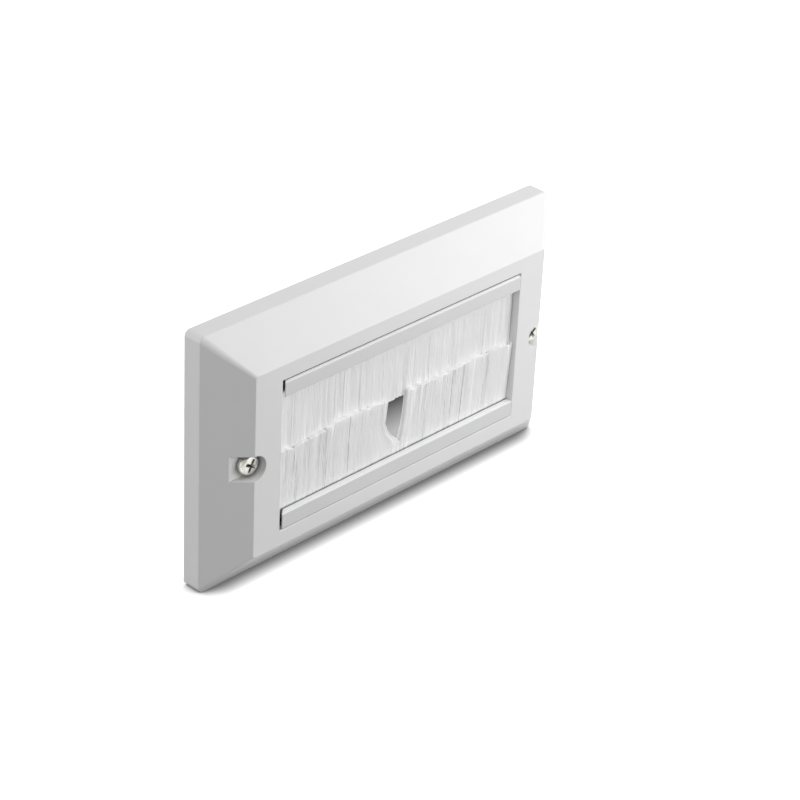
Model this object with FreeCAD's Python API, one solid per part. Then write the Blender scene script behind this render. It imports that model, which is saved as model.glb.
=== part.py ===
import FreeCAD, Part

import math
import os
import random

# Brush wall plate: a moulded shell over a double wall box, with a letterbox
# opening closed by two facing strip brushes that cables pass between.
# Millimetres. X runs to the right seen from the front, Z up, and Y into the
# wall. The wall's surface is Y = 0 and the plate's centre is X = Z = 0.

Vector = FreeCAD.Vector

# Plate shell
PLATE_WIDTH = 146.0
PLATE_HEIGHT = 86.0
PLATE_DEPTH = 17.0
SLAB_DEPTH = 6.5
SIDE_INSET = 12.0
TOP_INSET = 12.4
WALL = 2.5
SLAB_CORNER_R = 2.0
FACE_CORNER_R = 0.9
SLAB_EDGE_R = 0.45
FACE_EDGE_R = 0.4
OPENING_EDGE_R = 0.25

# Opening, set in from the flat face by these bands
SIDE_BAND = 10.5
TOP_BAND = 5.1
END_WALL = 1.8
END_WALL_LENGTH = 6.5
END_WALL_OVERRUN = 3.5

# Screws and their recesses
SCREW_EDGE = 12.7
SHANK_R = 1.75
NECK_R = 1.55
SCREW_LENGTH = 25.0
SHANK_CHAMFER = 0.5
HEAD_R = 3.5
HEAD_HEIGHT = 2.7
HEAD_RIM = 1.2
HEAD_FLAT_R = 2.5
HEAD_FACETS = 2
DRIVE_WIDTH = 4.0
DRIVE_SLOT = 0.9
DRIVE_DEPTH = 1.6
DRIVE_TAPER = 0.45
LEFT_DRIVE_TURN = 28.0
RIGHT_DRIVE_TURN = 52.0
SCREW_CLEARANCE = 0.25
HEAD_CLEARANCE = 0.7
RECESS_SHIFT = 0.4
RECESS_DEPTH = 4.9
RECESS_WALL = 1.6
RECESS_FLOOR = 2.0
PILLAR_R = 4.0
PILLAR_SETBACK = 0.5
PILLAR_WEB = 1.2
PILLAR_WEB_SETBACK = 5.4

# Stiffening ribs above and below the opening
RIB_THICKNESS = 1.2
RIB_PAIRS = 2
RIB_END = 2.5
RIB_SETBACK = 5.4
RIB_STANDOFF = 4.0

# Rails, drawn hanging from an outer edge at Z = 0
RAIL_HEIGHT = 5.3
RAIL_LIP = 2.1
RAIL_WEB = 1.4
RAIL_MOUTH = 1.05
RAIL_BACK_WALL = 1.2
RAIL_FLANGE = 2.6
RAIL_FLANGE_DEPTH = 1.5
RAIL_CORNER_R = 0.3
RAIL_LEFT_GAP = 0.9
RAIL_RIGHT_GAP = 0.1
UPPER_RAIL_GAP = 0.6
UPPER_RAIL_CHAMFER = 0.6
LOWER_RAIL_GAP = 0.1
LOWER_RAIL_CHAMFER = 0.2
RAIL_END_LAND = 0.2
RAIL_END_BEVEL = 2.2

# Snap hooks of the shell that hold the rails' flanges
HOOK_WIDTH = 6.0
HOOK_THICKNESS = 1.4
HOOK_PAIRS = 1
HOOK_END = 18.5
HOOK_CLEARANCE = 0.1
HOOK_BARB = 1.5
HOOK_BARB_DEPTH = 1.9
HOOK_NOSE = 0.3

# Strip brushes
CHANNEL_WIDTH = 3.4
CHANNEL_HEIGHT = 2.7
CHANNEL_SHEET = 0.4
CHANNEL_FOLD_R = 0.5
CHANNEL_JAW = 0.8
CHANNEL_CLEARANCE = 0.1
STRIP_SETBACK = 0.3
WIRE_R = 0.6
WIRE_LOOP = 0.3
BRISTLE_DEPTH = 2.2
BRISTLE_CLEARANCE = 0.05
NECK_CLEARANCE = 0.1

# Tufts of the bristle banks
TUFT_PITCH = 2.5
TUFT_OVERLAP = 1.5
TUFT_ROOT = 0.4
TUFT_TIP_DEPTH = 1.55
TUFT_SWAY = 0.35
TUFT_RAGGED = 0.35
TUFT_DEPTH_SPREAD = 0.12
BANK_LEAN = 1.05
UPPER_TIP_Z = 0.1
LOWER_TIP_Z = 1.5
LOWER_TIP_WAVE = 0.9
LOWER_TIP_WAVELENGTH = 75.0
LOWER_TIP_PHASE_X = 4.0
LOWER_TIP_DROP_X = 40.0
LOWER_TIP_DROP = 0.3

# Parting of the lower bank, where a cable comes out
PARTING_X = 0.8
PARTING_LEFT = 7.4
PARTING_RIGHT = 2.7
PARTING_LEFT_SPREAD = 8.0
PARTING_RIGHT_SPREAD = 5.0

# How far a cutting tool runs past the face that it leaves
OVERCUT = 1.0

# Places worked out from the sizes above
FACE_Y = -PLATE_DEPTH
CEILING_Y = FACE_Y + WALL
FACE_X = PLATE_WIDTH / 2 - SIDE_INSET
FACE_Z = PLATE_HEIGHT / 2 - TOP_INSET
OPENING_X = FACE_X - SIDE_BAND
OPENING_Z = FACE_Z - TOP_BAND
END_WALL_Z = OPENING_Z + END_WALL_OVERRUN
SCREW_X = PLATE_WIDTH / 2 - SCREW_EDGE
RIB_PITCH = (OPENING_X - RIB_END) / (RIB_PAIRS - 0.5)
HOOK_PITCH = (OPENING_X - HOOK_END) / HOOK_PAIRS
RECESS_R = HEAD_R + HEAD_CLEARANCE
RECESS_Y = FACE_Y + RECESS_DEPTH
RECESS_BACK_Y = RECESS_Y + RECESS_FLOOR
RAIL_LEFT_X = -OPENING_X + RAIL_LEFT_GAP
RAIL_RIGHT_X = OPENING_X - RAIL_RIGHT_GAP
MOUTH_WIDTH = BRISTLE_DEPTH + 2 * BRISTLE_CLEARANCE
STRIP_Y = FACE_Y + RAIL_LIP + MOUTH_WIDTH / 2
POCKET_HALF = CHANNEL_WIDTH / 2 + CHANNEL_CLEARANCE
RAIL_BACK_Y = STRIP_Y + POCKET_HALF + RAIL_BACK_WALL
FLANGE_BACK_Y = CEILING_Y + RAIL_FLANGE_DEPTH
HOOK_Z = OPENING_Z - LOWER_RAIL_GAP + RAIL_FLANGE + HOOK_CLEARANCE
STRIP_LEFT_X = RAIL_LEFT_X + STRIP_SETBACK
STRIP_RIGHT_X = RAIL_RIGHT_X - STRIP_SETBACK
CHANNEL_FLOOR_Z = -RAIL_WEB - CHANNEL_SHEET
CHANNEL_MOUTH_Z = -RAIL_WEB - CHANNEL_HEIGHT
NECK_HALF = BRISTLE_DEPTH / 2 - NECK_CLEARANCE


def profile(points, run):
    """Solid of a closed outline, extruded along the vector run."""
    corners = [Vector(*point) for point in points]
    return Part.Face(Part.makePolygon(corners + corners[:1])).extrude(run)


def across(points, left, right):
    """Solid of an outline of (Y, Z) points that runs in X from left to right."""
    return profile([(left, y, z) for y, z in points], Vector(right - left, 0, 0))


def block(x, y, z):
    """Box between the two limits given for each of X, Y and Z."""
    size = [high - low for low, high in (x, y, z)]
    return Part.makeBox(*size, Vector(x[0], y[0], z[0]))


def mirrored(shape, normal):
    """Copy of a shape on the other side of the plate's centre."""
    return shape.mirror(Vector(0, 0, 0), normal)


def both_sides(shape):
    """A shape on the right and its twin on the left."""
    return [shape, mirrored(shape, Vector(1, 0, 0))]


def rounded_rectangle(half_x, half_z, radius, y):
    """Closed wire of a rectangle with round corners in the plane Y = y."""
    edges = []
    last = None
    for quarter in range(5):
        middle = math.radians(45 + 90 * quarter)
        centre_x = math.copysign(half_x - radius, math.cos(middle))
        centre_z = math.copysign(half_z - radius, math.sin(middle))
        arc = [
            Vector(centre_x + radius * math.cos(turn), y, centre_z + radius * math.sin(turn))
            for turn in (middle - math.pi / 4, middle, middle + math.pi / 4)
        ]
        if last is not None:
            edges.append(Part.LineSegment(last, arc[0]).toShape())
        if quarter < 4:
            edges.append(Part.Arc(*arc).toShape())
        last = arc[2]
    return Part.Wire(edges)


def edges_in_plane(shape, y, half_x, half_z):
    """Edges at Y = y that lie within the given distances of the centre."""
    tolerance = 1e-4
    found = []
    for edge in shape.Edges:
        box = edge.BoundBox
        flat = abs(box.YMin - y) < tolerance and abs(box.YMax - y) < tolerance
        inside = max(abs(box.XMin), abs(box.XMax)) < half_x + tolerance
        inside = inside and max(abs(box.ZMin), abs(box.ZMax)) < half_z + tolerance
        if flat and inside:
            found.append(edge)
    return found


def hipped(back, front):
    """Solid between two rounded rectangles, with flat slopes."""
    faces = [Part.Face(back), Part.Face(front)]
    for low, high in zip(back.OrderedEdges, front.OrderedEdges):
        if low.BoundBox.DiagonalLength > 2 * SLAB_CORNER_R:
            (start, end), (far_start, far_end) = [
                [vertex.Point for vertex in edge.Vertexes] for edge in (low, high)]
            faces.append(Part.Face(Part.makePolygon([start, end, far_end, far_start, start])))
        else:
            faces.append(Part.makeRuledSurface(low, high))
    shell = Part.makeShell(faces)
    shell.sewShape()
    return Part.Solid(shell)


def plate_block():
    """The shell's outer form, solid: a slab with a hipped front."""
    half_x, half_z = PLATE_WIDTH / 2, PLATE_HEIGHT / 2
    back = rounded_rectangle(half_x, half_z, SLAB_CORNER_R, 0)
    slab = Part.Face(back).extrude(Vector(0, -SLAB_DEPTH, 0))
    hip = hipped(
        rounded_rectangle(half_x, half_z, SLAB_CORNER_R, -SLAB_DEPTH),
        rounded_rectangle(FACE_X, FACE_Z, FACE_CORNER_R, FACE_Y))
    body = slab.fuse(hip)
    rim = edges_in_plane(body, -SLAB_DEPTH, half_x, half_z)
    body = body.makeFillet(SLAB_EDGE_R, rim)
    return body.makeFillet(FACE_EDGE_R, edges_in_plane(body, FACE_Y, half_x, half_z))


def hollow_outline(half, inset):
    """The hollow's section along one direction, as (across, Y) points."""
    rise = PLATE_DEPTH - SLAB_DEPTH
    skew = WALL * math.hypot(inset, rise) / rise
    ceiling = half - inset * (rise - WALL) / rise - skew
    bend_y = -SLAB_DEPTH + (skew - WALL) * rise / inset
    side = half - WALL
    return [
        (-side, OVERCUT), (-side, bend_y), (-ceiling, CEILING_Y),
        (ceiling, CEILING_Y), (side, bend_y), (side, OVERCUT),
    ]


def recess_prism(radius, front_y, floor_y):
    """Prism of the right recess: round towards the centre, open to the side."""
    centre = SCREW_X + RECESS_SHIFT
    outside = PLATE_WIDTH / 2 + OVERCUT
    top, bottom = Vector(centre, floor_y, radius), Vector(centre, floor_y, -radius)
    far_top, far_bottom = Vector(outside, floor_y, radius), Vector(outside, floor_y, -radius)
    outline = Part.Wire([
        Part.Arc(top, Vector(centre - radius, floor_y, 0), bottom).toShape(),
        Part.LineSegment(bottom, far_bottom).toShape(),
        Part.LineSegment(far_bottom, far_top).toShape(),
        Part.LineSegment(far_top, top).toShape(),
    ])
    return Part.Face(outline).extrude(Vector(0, front_y - floor_y, 0))


def screw_supports():
    """Walls round each recess, the pillar behind it and the pillar's web."""
    cup = recess_prism(RECESS_R + RECESS_WALL, FACE_Y, RECESS_BACK_Y)
    pillar = Part.makeCylinder(
        PILLAR_R, -PILLAR_SETBACK - RECESS_Y, Vector(SCREW_X, RECESS_Y, 0), Vector(0, 1, 0))
    web = block(
        (OPENING_X + END_WALL / 2, PLATE_WIDTH / 2),
        (FACE_Y, -PILLAR_WEB_SETBACK),
        (-PILLAR_WEB / 2, PILLAR_WEB / 2))
    return both_sides(cup) + both_sides(pillar) + both_sides(web)


def end_walls():
    """Walls that close the sides of the opening behind the face."""
    wall = block(
        (OPENING_X, OPENING_X + END_WALL),
        (FACE_Y, CEILING_Y + END_WALL_LENGTH),
        (-END_WALL_Z, END_WALL_Z))
    return both_sides(wall)


def snap_hooks():
    """Barbed arms above and below the opening that clip behind the rails."""
    barb_y = FLANGE_BACK_Y + HOOK_BARB_DEPTH
    outline = [
        (FACE_Y, HOOK_Z), (FACE_Y, HOOK_Z + HOOK_THICKNESS),
        (barb_y, HOOK_Z + HOOK_THICKNESS), (barb_y, HOOK_Z),
        (FLANGE_BACK_Y + HOOK_NOSE, HOOK_Z - HOOK_BARB), (FLANGE_BACK_Y, HOOK_Z - HOOK_BARB),
        (FLANGE_BACK_Y, HOOK_Z),
    ]
    hooks = []
    for place in range(-HOOK_PAIRS, HOOK_PAIRS + 1):
        middle = place * HOOK_PITCH
        hook = across(outline, middle - HOOK_WIDTH / 2, middle + HOOK_WIDTH / 2)
        hooks += [hook, mirrored(hook, Vector(0, 0, 1))]
    return hooks


def ribs():
    """Ribs that tie the face to the top and bottom walls."""
    shapes = []
    for place in range(RIB_PAIRS):
        middle = (place + 0.5) * RIB_PITCH
        rib = block(
            (middle - RIB_THICKNESS / 2, middle + RIB_THICKNESS / 2),
            (FACE_Y, -RIB_SETBACK),
            (OPENING_Z + RIB_STANDOFF, PLATE_HEIGHT / 2))
        for twin in both_sides(rib):
            shapes += [twin, mirrored(twin, Vector(0, 0, 1))]
    return shapes


def faceplate():
    """The moulded shell, one piece."""
    width_section = hollow_outline(PLATE_WIDTH / 2, SIDE_INSET)
    height_section = hollow_outline(PLATE_HEIGHT / 2, TOP_INSET)
    hollow = profile(
        [(x, y, -PLATE_HEIGHT) for x, y in width_section], Vector(0, 0, 2 * PLATE_HEIGHT))
    hollow = hollow.common(across([(y, z) for z, y in height_section], -PLATE_WIDTH, PLATE_WIDTH))
    hollow = hollow.cut(screw_supports() + end_walls() + snap_hooks() + ribs())

    opening = block(
        (-OPENING_X, OPENING_X), (FACE_Y - OVERCUT, CEILING_Y + OVERCUT), (-OPENING_Z, OPENING_Z))
    recess = recess_prism(RECESS_R, FACE_Y - OVERCUT, RECESS_Y)
    hole = Part.makeCylinder(
        SHANK_R + SCREW_CLEARANCE, PLATE_DEPTH, Vector(SCREW_X, RECESS_Y, 0), Vector(0, 1, 0))
    body = plate_block().cut([hollow, opening] + both_sides(recess) + both_sides(hole))
    return body.makeFillet(OPENING_EDGE_R, edges_in_plane(body, FACE_Y, OPENING_X, OPENING_Z))


def rail(chamfer):
    """A rail: lip and web round an undercut pocket, with a flange to clip."""
    pocket_front, pocket_back = STRIP_Y - POCKET_HALF, STRIP_Y + POCKET_HALF
    mouth_front, mouth_back = STRIP_Y - MOUTH_WIDTH / 2, STRIP_Y + MOUTH_WIDTH / 2
    mouth_z = -RAIL_HEIGHT + RAIL_MOUTH
    outline = [
        (FACE_Y, -RAIL_HEIGHT), (FACE_Y, -chamfer), (FACE_Y + chamfer, 0),
        (CEILING_Y, 0), (CEILING_Y, RAIL_FLANGE), (FLANGE_BACK_Y, RAIL_FLANGE),
        (FLANGE_BACK_Y, 0), (RAIL_BACK_Y, 0), (RAIL_BACK_Y, -RAIL_HEIGHT),
        (mouth_back, -RAIL_HEIGHT), (mouth_back, mouth_z), (pocket_back, mouth_z),
        (pocket_back, -RAIL_WEB), (pocket_front, -RAIL_WEB), (pocket_front, mouth_z),
        (mouth_front, mouth_z), (mouth_front, -RAIL_HEIGHT),
    ]
    body = across(outline, RAIL_LEFT_X, RAIL_RIGHT_X)
    lip_edges = [
        edge for edge in edges_in_plane(body, FACE_Y, OPENING_X, RAIL_HEIGHT)
        if edge.BoundBox.ZMax < -RAIL_HEIGHT / 2
    ]
    return body.makeFillet(RAIL_CORNER_R, lip_edges).cut(end_undercut())


def end_undercut():
    """Slanting cut behind the lip's free end, for springing the rail in."""
    lip_back = FACE_Y + RAIL_LIP
    corners = [
        Vector(RAIL_LEFT_X - OVERCUT, FACE_Y + RAIL_END_LAND, OVERCUT),
        Vector(RAIL_LEFT_X, FACE_Y + RAIL_END_LAND, OVERCUT),
        Vector(RAIL_LEFT_X + RAIL_END_BEVEL, lip_back, OVERCUT),
        Vector(RAIL_LEFT_X - OVERCUT, lip_back, OVERCUT),
    ]
    face = Part.Face(Part.makePolygon(corners + corners[:1]))
    return face.extrude(Vector(0, 0, -RAIL_HEIGHT - 2 * OVERCUT))


def strip_channel():
    """Folded steel channel, its jaws crimped towards the bristles."""
    half, inner = CHANNEL_WIDTH / 2, CHANNEL_WIDTH / 2 - CHANNEL_SHEET
    jaw_z = CHANNEL_MOUTH_Z + CHANNEL_JAW
    top_z = CHANNEL_FLOOR_Z + CHANNEL_SHEET
    outline = [
        (-half, top_z), (half, top_z), (half, jaw_z), (NECK_HALF + CHANNEL_SHEET, CHANNEL_MOUTH_Z),
        (NECK_HALF, CHANNEL_MOUTH_Z), (inner, jaw_z), (inner, CHANNEL_FLOOR_Z),
        (-inner, CHANNEL_FLOOR_Z), (-inner, jaw_z), (-NECK_HALF, CHANNEL_MOUTH_Z),
        (-NECK_HALF - CHANNEL_SHEET, CHANNEL_MOUTH_Z), (-half, jaw_z),
    ]
    body = across([(STRIP_Y + y, z) for y, z in outline], STRIP_LEFT_X, STRIP_RIGHT_X)
    folds = [
        edge for edge in body.Edges
        if abs(edge.BoundBox.ZMin - top_z) < 1e-4 and edge.BoundBox.XLength > CHANNEL_WIDTH
    ]
    return body.makeFillet(CHANNEL_FOLD_R, folds)


def core_wire():
    """Round wire that the filaments are looped over."""
    wire_z = CHANNEL_FLOOR_Z - WIRE_LOOP - WIRE_R
    return Part.makeCylinder(
        WIRE_R, STRIP_RIGHT_X - STRIP_LEFT_X, Vector(STRIP_LEFT_X, STRIP_Y, wire_z), Vector(1, 0, 0))


def bristle_root():
    """The filaments' looped ends in the channel, as far as the rail's mouth."""
    inner = CHANNEL_WIDTH / 2 - CHANNEL_SHEET
    jaw_z = CHANNEL_MOUTH_Z + CHANNEL_JAW
    outline = [
        (-inner, CHANNEL_FLOOR_Z), (inner, CHANNEL_FLOOR_Z), (inner, jaw_z),
        (NECK_HALF, CHANNEL_MOUTH_Z), (NECK_HALF, -RAIL_HEIGHT), (-NECK_HALF, -RAIL_HEIGHT),
        (-NECK_HALF, CHANNEL_MOUTH_Z), (-inner, jaw_z),
    ]
    block_shape = across([(STRIP_Y + y, z) for y, z in outline], STRIP_LEFT_X, STRIP_RIGHT_X)
    return block_shape.cut(core_wire())


def tuft_outline(x, y, z, width, depth):
    """Six-sided section of a tuft, with its flanks brought to an edge."""
    corners = [
        Vector(x - width / 2, y, z), Vector(x - width / 4, y - depth / 2, z),
        Vector(x + width / 4, y - depth / 2, z), Vector(x + width / 2, y, z),
        Vector(x + width / 4, y + depth / 2, z), Vector(x - width / 4, y + depth / 2, z),
    ]
    return Part.makePolygon(corners + corners[:1])


def bristle_bank(reach_at, part_at, lean, seed):
    """A bank of tufts hanging from the channel.

    reach_at gives the distance from the rail's outer edge to the tips,
    part_at how far the tips are pushed aside, both for a place in X.
    """
    chance = random.Random(seed)
    width = TUFT_PITCH * TUFT_OVERLAP
    first, last = STRIP_LEFT_X + width / 2, STRIP_RIGHT_X - width / 2
    count = round((last - first) / TUFT_PITCH) + 1
    tufts = []
    for place in range(count):
        root_x = first + (last - first) * place / (count - 1)
        depth = BRISTLE_DEPTH - chance.uniform(0, TUFT_DEPTH_SPREAD)
        sway = chance.uniform(-TUFT_SWAY, TUFT_SWAY)
        tip_x = root_x + part_at(root_x) + sway
        tip_x = min(max(tip_x, first), last)
        tip_z = -reach_at(tip_x) + chance.uniform(-TUFT_RAGGED, TUFT_RAGGED)
        root = tuft_outline(root_x, STRIP_Y, -RAIL_HEIGHT + TUFT_ROOT, width, depth)
        tip = tuft_outline(tip_x, STRIP_Y + lean, tip_z, width, TUFT_TIP_DEPTH)
        tufts.append(Part.makeLoft([root, tip], True, True))
    return bristle_root().fuse(tufts)


def lower_tip_z(x):
    """Height of the lower bank's tips, a slow wave that drops at the right."""
    wave = math.sin(2 * math.pi * (x - LOWER_TIP_PHASE_X) / LOWER_TIP_WAVELENGTH)
    drop = max(0.0, x - LOWER_TIP_DROP_X) * LOWER_TIP_DROP
    return LOWER_TIP_Z + LOWER_TIP_WAVE * wave - drop


def parting(x):
    """How far a cable has pushed the lower tips aside, most beside the gap."""
    if x < PARTING_X:
        return -PARTING_LEFT * math.exp((x - PARTING_X) / PARTING_LEFT_SPREAD)
    return PARTING_RIGHT * math.exp((PARTING_X - x) / PARTING_RIGHT_SPREAD)


def at_top(shape):
    """Seat a shape drawn below Z = 0 under the opening's top edge."""
    shape.translate(Vector(0, 0, OPENING_Z - UPPER_RAIL_GAP))
    return shape


def at_bottom(shape):
    """Turn a shape drawn below Z = 0 over, onto the opening's bottom edge."""
    turned = mirrored(shape, Vector(0, 0, 1))
    turned.translate(Vector(0, 0, -OPENING_Z + LOWER_RAIL_GAP))
    return turned


def upper_bristles():
    """Upper bank, tips leaning back behind the lower bank."""
    reach = OPENING_Z - UPPER_RAIL_GAP - UPPER_TIP_Z
    return at_top(bristle_bank(lambda x: reach, lambda x: 0.0, BANK_LEAN, 11))


def lower_bristles():
    """Lower bank, tips leaning forward, with the cable's parting."""
    edge = OPENING_Z - LOWER_RAIL_GAP
    return at_bottom(bristle_bank(lambda x: edge + lower_tip_z(x), parting, -BANK_LEAN, 23))


def drive_slot():
    """One arm of the head's cross recess, narrower towards its floor."""
    slots = []
    for y, scale in ((-HEAD_HEIGHT, 1.0), (-HEAD_HEIGHT + DRIVE_DEPTH, DRIVE_TAPER)):
        long, wide = DRIVE_WIDTH / 2 * scale, DRIVE_SLOT / 2 * scale
        corners = [Vector(-long, y, -wide), Vector(long, y, -wide),
                   Vector(long, y, wide), Vector(-long, y, wide)]
        slots.append(Part.makePolygon(corners + corners[:1]))
    return Part.makeLoft(slots, True, True)


def screw(x, turn):
    """Pan-head screw on a recess's floor, thinner as far as the wall.

    The thread beyond the wall's surface is left plain.
    """
    wall = -RECESS_Y
    start = Vector(0, SCREW_LENGTH, 0)
    steps = [
        Vector(SHANK_R - SHANK_CHAMFER, SCREW_LENGTH, 0),
        Vector(SHANK_R, SCREW_LENGTH - SHANK_CHAMFER, 0),
        Vector(SHANK_R, wall, 0), Vector(NECK_R, wall - (SHANK_R - NECK_R), 0),
        Vector(NECK_R, 0, 0), Vector(HEAD_R, 0, 0), Vector(HEAD_R, -HEAD_RIM, 0),
    ]
    for facet in range(1, HEAD_FACETS + 1):
        rise = math.pi / 2 * facet / HEAD_FACETS
        radius = HEAD_FLAT_R + (HEAD_R - HEAD_FLAT_R) * math.cos(rise)
        height = HEAD_RIM + (HEAD_HEIGHT - HEAD_RIM) * math.sin(rise)
        steps.append(Vector(radius, -height, 0))
    outline = Part.makePolygon([start] + steps + [Vector(0, -HEAD_HEIGHT, 0), start])
    body = Part.Face(outline).revolve(Vector(0, 0, 0), Vector(0, 1, 0), 360)
    for arm in (turn, turn + 90):
        slot = drive_slot()
        slot.rotate(Vector(0, 0, 0), Vector(0, 1, 0), arm)
        body = body.cut(slot)
    body.translate(Vector(x, RECESS_Y, 0))
    return body


PIECES = {
    "faceplate": faceplate(),
    "upper_rail": at_top(rail(UPPER_RAIL_CHAMFER)),
    "lower_rail": at_bottom(rail(LOWER_RAIL_CHAMFER)),
    "upper_strip_channel": at_top(strip_channel()),
    "lower_strip_channel": at_bottom(strip_channel()),
    "upper_core_wire": at_top(core_wire()),
    "lower_core_wire": at_bottom(core_wire()),
    "upper_bristles": upper_bristles(),
    "lower_bristles": lower_bristles(),
    "left_fixing_screw": screw(-SCREW_X, LEFT_DRIVE_TURN),
    "right_fixing_screw": screw(SCREW_X, RIGHT_DRIVE_TURN),
}

os.makedirs("parts", exist_ok=True)
for name, shape in PIECES.items():
    shape.exportStep("parts/" + name + ".step")
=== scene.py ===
"""Brush wall plate: finishes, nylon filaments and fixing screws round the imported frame.

Sizes are in millimetres in the dataclasses and become metres where a mesh or
a lamp is made. X runs to the right, Y into the wall, Z up.
"""

import logging
import math
from dataclasses import dataclass
from enum import Enum

import bmesh
import bpy
import numpy as np
from mathutils import Matrix, Vector


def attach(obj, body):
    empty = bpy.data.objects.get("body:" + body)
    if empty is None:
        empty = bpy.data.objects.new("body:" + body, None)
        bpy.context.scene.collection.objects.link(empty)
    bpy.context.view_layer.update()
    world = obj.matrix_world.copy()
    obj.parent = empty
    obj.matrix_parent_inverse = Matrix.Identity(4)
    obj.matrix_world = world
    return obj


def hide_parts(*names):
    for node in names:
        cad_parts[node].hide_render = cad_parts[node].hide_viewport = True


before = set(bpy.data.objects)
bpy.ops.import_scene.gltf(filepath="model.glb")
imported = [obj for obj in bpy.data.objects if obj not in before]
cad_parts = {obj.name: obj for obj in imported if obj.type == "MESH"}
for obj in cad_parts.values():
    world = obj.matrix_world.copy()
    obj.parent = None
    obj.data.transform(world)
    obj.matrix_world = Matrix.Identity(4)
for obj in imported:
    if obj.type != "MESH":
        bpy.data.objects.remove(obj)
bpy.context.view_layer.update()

MM = 0.001
BODY = "root"
HALF_SCREW_SPACING = 60.3
WHITE = (1, 1, 1, 1)

# Places of the colour sockets on a Mix node: two go in and one comes out.
FIRST_COLOUR, SECOND_COLOUR, MIXED_COLOUR = 6, 7, 2

Colour = tuple[float, float, float]
Place = tuple[float, float, float]
Span = tuple[float, float]
log = logging.getLogger("brush_wall_plate")


class End(Enum):
    """Which edge of the opening a brush strip sits on."""

    UPPER = 1
    LOWER = -1


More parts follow.
